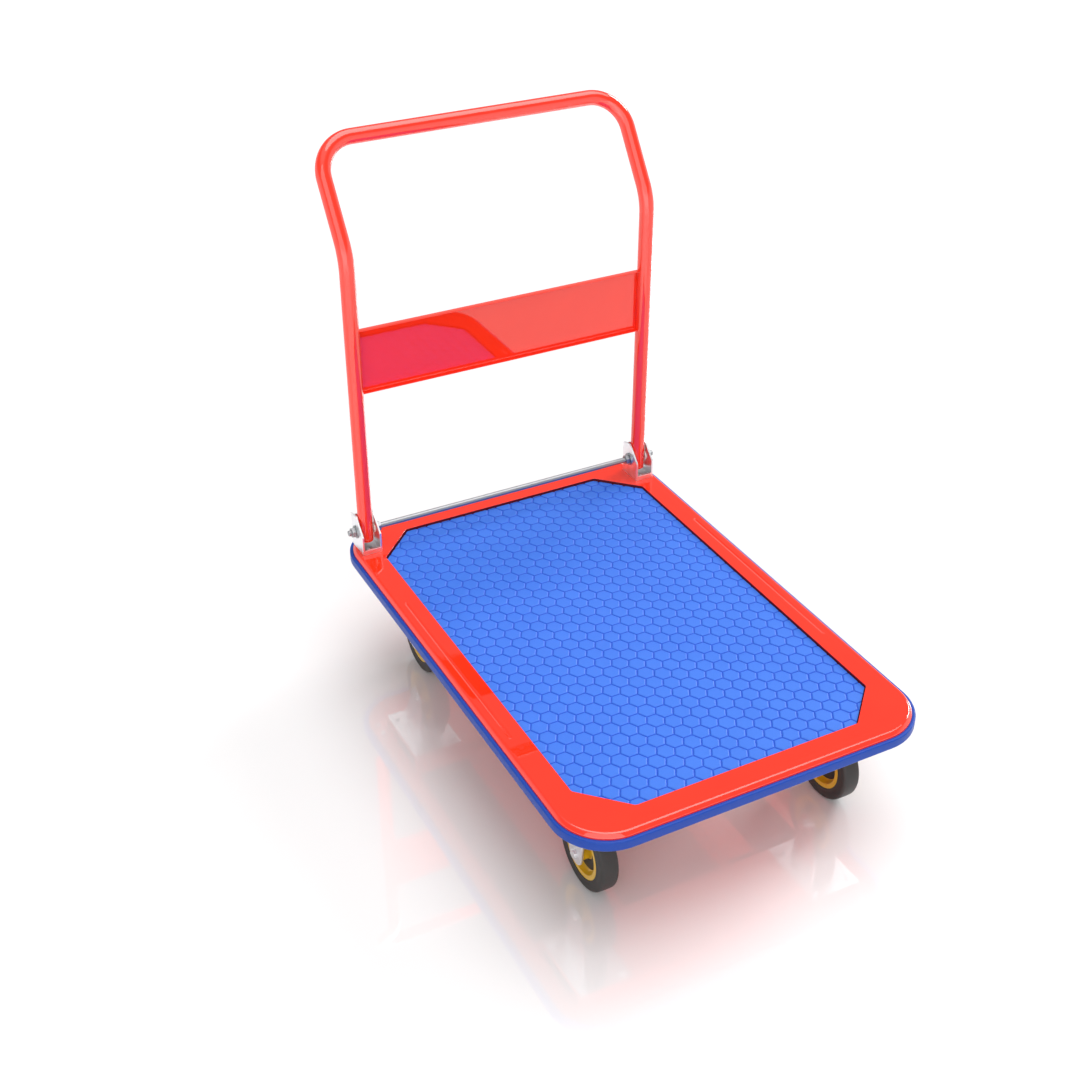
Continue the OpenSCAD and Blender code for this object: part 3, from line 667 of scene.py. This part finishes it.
# %% [markdown]
# ## Wheels
#
# Everything round on a wheel is turned: a profile of radius against width, swept once about the
# axle. The tyre has a flat tread, round shoulders and a shallow step where it meets the wheel. The
# yellow centre has a rolled lip, a dished wall, a web and a boss; black cover discs lie on the web.

# %% Turned pieces
TURNS = 72


def turned(name, profile, centre):
    """Point k of the closed profile (radius r, width x) goes to (cx + x, cy + r cos t, cz + r sin t)."""
    t = np.linspace(0, 2 * math.pi, TURNS, endpoint=False)
    ring = np.stack([np.zeros_like(t), np.cos(t), np.sin(t)], axis=1)
    points = profile[:, None, 0, None] * ring[None] + profile[:, None, 1, None] * np.array([1.0, 0, 0])
    return make_piece(name, points + centre,
                      grid_faces(len(profile), TURNS, wrap_rows=True, wrap_cols=True))


def rounded_corner(r, x, radius, start, stop, steps=5):
    """An arc of the given radius about (r, x), from angle start to stop in degrees."""
    a = np.radians(np.linspace(start, stop, steps))
    return np.stack([r + radius * np.cos(a), x + radius * np.sin(a)], axis=1)


tyre_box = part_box("front_left_tyre")
WHEEL_R = (tyre_box[1].z - tyre_box[0].z) / MM / 2
TYRE_HALF = (tyre_box[1].x - tyre_box[0].x) / MM / 2
RIM_R = 46.0
half_tyre = np.concatenate([[[WHEEL_R, 0], [WHEEL_R - 0.1, 5.0]],
                            rounded_corner(WHEEL_R - 5.3, TYRE_HALF - 5.0, 5.0, 12, 90, 8),
                            [[56.0, TYRE_HALF - 0.2], [52.0, TYRE_HALF - 0.9], [49.0, TYRE_HALF - 1.0],
                             [47.4, TYRE_HALF - 0.5], [RIM_R + 0.1, TYRE_HALF - 0.6],
                             [RIM_R, TYRE_HALF - 1.5]]])
tyre_profile = np.concatenate([half_tyre, (half_tyre[1:] * [1, -1])[::-1]])
half_centre = np.concatenate([[[RIM_R, 0]], rounded_corner(RIM_R - 1.0, 13.0, 1.0, 0, 90, 4),
                              rounded_corner(38.8, 13.2, 0.8, 90, 180, 4),
                              [[37.2, 10.0], [35.6, 5.6], [34.4, 4.2], [32.0, 3.6], [17.0, 3.6], [15.2, 4.6]],
                              [[14.4, 8.0], [14.0, 16.5]], rounded_corner(12.6, 17.1, 1.4, 0, 90, 4),
                              [[8.6, 18.5], [8.1, 18.0]]])
centre_profile = np.concatenate([half_centre, (half_centre[1:] * [1, -1])[::-1]])
disc_profile = np.array([[33.6, 3.9], [33.0, 4.9], [32.0, 5.2], [18.5, 5.2], [17.4, 4.9], [17.0, 3.9]])
for end in ("front", "rear"):
    for hand in ("left", "right"):
        low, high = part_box(f"{end}_{hand}_tyre")
        middle_of = (np.array(low) + np.array(high)) / 2 / MM
        body = f"{end}_{hand}_wheel"
        tyre = turned(f"{end}_{hand}_tyre_rubber", tyre_profile, middle_of)
        dress(tyre, body, tyre_rubber, "tyre", f"{end}_{hand}_tyre")
        centre = turned(f"{end}_{hand}_wheel_centre", centre_profile, middle_of)
        dress(centre, body, yellow_paint, "yellow_paint", f"{end}_{hand}_hub")
        covers = [turned(f"{end}_{hand}_cover_{face}", disc_profile * [1, way], middle_of)
                  for face, way in (("inner", -1), ("outer", 1))]
        dress(covers[0], body, black_plastic, "black_plastic", f"{end}_{hand}_discs")
        dress(covers[1], body, black_plastic, "black_plastic")

# %% [markdown]
# ## Plated steel parts
#
# Brackets, forks, plates, nuts and screws are right in the solid model except that their edges are
# perfectly sharp. Real stamped and machined edges are broken, and that thin bright line is much of
# what makes metal look like metal. So each is copied, its loose triangles are merged and its flat
# faces joined, and a narrow bevel is put on every edge that turns by more than 35 degrees.

# %% Broken edges
SHARP_TURN = math.radians(35)
SAME_POINT = 0.002 * MM
SAME_PLANE = math.radians(0.5)


def edge_broken(node, width):
    """Copy of a solid node with every edge of more than SHARP_TURN rounded by width millimetres."""
    source = frame["nodes"][node].data
    points = np.empty(len(source.vertices) * 3)
    source.vertices.foreach_get("co", points)
    source.calc_loop_triangles()
    corners = np.empty(len(source.loop_triangles) * 3, int)
    source.loop_triangles.foreach_get("vertices", corners)
    mesh = bpy.data.meshes.new(node + "_finished")
    mesh.from_pydata(points.reshape(-1, 3).tolist(), [], corners.reshape(-1, 3).tolist())
    shell = bmesh.new()
    shell.from_mesh(mesh)
    bmesh.ops.remove_doubles(shell, verts=shell.verts, dist=SAME_POINT)
    bmesh.ops.dissolve_limit(shell, angle_limit=SAME_PLANE, verts=shell.verts, edges=shell.edges)
    shell.to_mesh(mesh)
    shell.free()
    mesh.shade_smooth()
    mesh.set_sharp_from_angle(angle=SHARP_TURN)
    piece = bpy.data.objects.new(node + "_finished", mesh)
    bpy.context.scene.collection.objects.link(piece)
    bevel = piece.modifiers.new("broken edge", "BEVEL")
    bevel.width = width * MM
    bevel.segments = 2
    bevel.limit_method = "ANGLE"
    bevel.angle_limit = SHARP_TURN
    return piece


node_body = {node: body for body, nodes in frame["record"]["behaviour"]["bodies"].items()
             for node in nodes}
finish_of = {"zinc": zinc_plate, "red_paint": red_enamel, "nylon": nylon, "black_plastic": black_plastic}
slot_of = {s["node"]: s["material_slot"] for s in frame["record"]["subparts"]}
EDGE_WIDTH = {"hinge_bracket_left": 0.5, "hinge_bracket_right": 0.5, "front_left_housing": 0.6,
              "front_right_housing": 0.6, "rear_left_plate": 0.5, "rear_right_plate": 0.5,
              "rear_left_fork": 0.6, "rear_right_fork": 0.6, "front_channel": 0.5, "rear_channel": 0.5,
              "stringers": 0.5, "pivot_rod": 0.8, "rod_washers": 0.25, "rod_nuts": 0.5, "leg_bushes": 0.3,
              "bracket_bolts": 0.3, "bracket_nuts": 0.4, "front_axle_bolts": 0.4, "front_axle_nuts": 0.4,
              "rear_left_axle_bolt": 0.4, "rear_left_axle_nut": 0.4, "rear_right_axle_bolt": 0.4,
              "rear_right_axle_nut": 0.4, "caster_bolts": 0.4, "caster_nuts": 0.4,
              "rear_left_king_pin": 0.4, "rear_right_king_pin": 0.4, "leg_plugs": 0.3}
for node, width in EDGE_WIDTH.items():
    piece = edge_broken(node, width)
    drawn = node in ("pivot_rod", "rod_nuts", "rod_washers")
    finish = drawn_steel if drawn else finish_of[slot_of[node]]
    dress(piece, node_body[node], finish, slot_of[node], node)
print(len(EDGE_WIDTH), "nodes with broken edges")

# %% [markdown]
# What is left of the solid model is right as it is: sleeves and balls, mostly out of sight. They
# keep their meshes and take the plated finish.

# %% Finish the nodes that stay
for node in ("front_axle_sleeves", "rear_left_axle_sleeve", "rear_right_axle_sleeve",
             "rear_left_balls", "rear_right_balls"):
    data = frame["nodes"][node].data
    data.materials.clear()
    data.materials.append(zinc_plate)
print("plated the sleeves and balls")

# %% [markdown]
# ## The studio
#
# The trolley stands on a large white polished floor that mirrors it softly. A broad soft light
# hangs above, a lower and narrower one from the right models the hexagons, and the broadest one, in
# front, fills the upright faces. The surroundings are grey between a bright overhead and a pale
# horizon, so the level rim keeps its deep red while the tubes catch thin pale stripes.

# %% Floor
floor_mesh = bpy.data.meshes.new("studio_floor")
FLOOR = 30.0
floor_mesh.from_pydata([(x * FLOOR, y * FLOOR, 0) for x, y in ((-1, -1), (1, -1), (1, 1), (-1, 1))], [],
                       [(0, 1, 2, 3)])
floor = bpy.data.objects.new("studio_floor", floor_mesh)
bpy.context.scene.collection.objects.link(floor)
floor_finish, tree, shader, at = new_finish("white_polished_floor")
set_surface(shader, Base_Color=linear("#F4F3F3"), Roughness=0.35, IOR=1.45, Coat_Weight=1.0,
            Coat_IOR=2.3, Coat_Roughness=0.02)
floor_mesh.materials.append(floor_finish)
floor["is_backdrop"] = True

# %% Lights and surroundings
world = bpy.data.worlds.new("pale_studio")
bpy.context.scene.world = world
world.use_nodes = True
tree = world.node_tree
sky = tree.nodes["Background"]
look = add(tree, "ShaderNodeTexCoord")
up = add(tree, "ShaderNodeSeparateXYZ", {"Vector": look.outputs["Generated"]})
ramp = add(tree, "ShaderNodeValToRGB", {"Fac": up.outputs["Z"]})
for stop, place in zip(ramp.color_ramp.elements, (0.0, 1.0)):
    stop.position = place
    stop.color = (1.0, 1.0, 1.0, 1)
for place, grey in ((0.25, 0.95), (0.42, 0.32), (0.74, 0.32), (0.88, 0.9)):
    stop = ramp.color_ramp.elements.new(place)
    stop.color = (grey, grey, grey, 1)
tree.links.new(ramp.outputs["Color"], sky.inputs["Color"])
sky.inputs["Strength"].default_value = 1.0


def soft_sun(name, toward, strength, spread):
    """A distant soft light: it comes from the direction toward, and spread degrees wide it blurs
    its own shadows."""
    lamp = bpy.data.lights.new(name, "SUN")
    lamp.energy = strength
    lamp.angle = math.radians(spread)
    sun = bpy.data.objects.new(name, lamp)
    sun.rotation_euler = Vector(toward).to_track_quat("Z", "Y").to_euler()
    bpy.context.scene.collection.objects.link(sun)


soft_sun("overhead_soft_light", (0.25, 0.05, 0.95), 1.7, 60)
soft_sun("low_light_from_the_right", (0.8, 0.3, 0.42), 1.3, 20)
soft_sun("front_fill", (-0.45, -0.8, 0.4), 1.3, 70)

# %% [markdown]
# The camera stands to the front left of the trolley, at about a third of a right angle above it,
# with a slightly long lens.

# %% Camera
view_camera = bpy.data.cameras.new("studio_camera")
view_camera.sensor_width = 36.0
view_camera.lens = 51.57
view_camera.clip_end = 100.0
LOOK_DOWN, LOOK_RIGHT = math.radians(32.98), math.radians(27.55)
camera = bpy.data.objects.new("studio_camera", view_camera)
camera.location = (-1.049, -1.784, 1.6847)
camera.rotation_euler = (math.pi / 2 - LOOK_DOWN, 0, -LOOK_RIGHT)
bpy.context.scene.collection.objects.link(camera)
bpy.context.scene.camera = camera
bpy.context.scene.view_settings.view_transform = "Standard"

# %% The box round the visual model
low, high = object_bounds()
print("visual model from", [round(v, 4) for v in low], "to", [round(v, 4) for v in high])
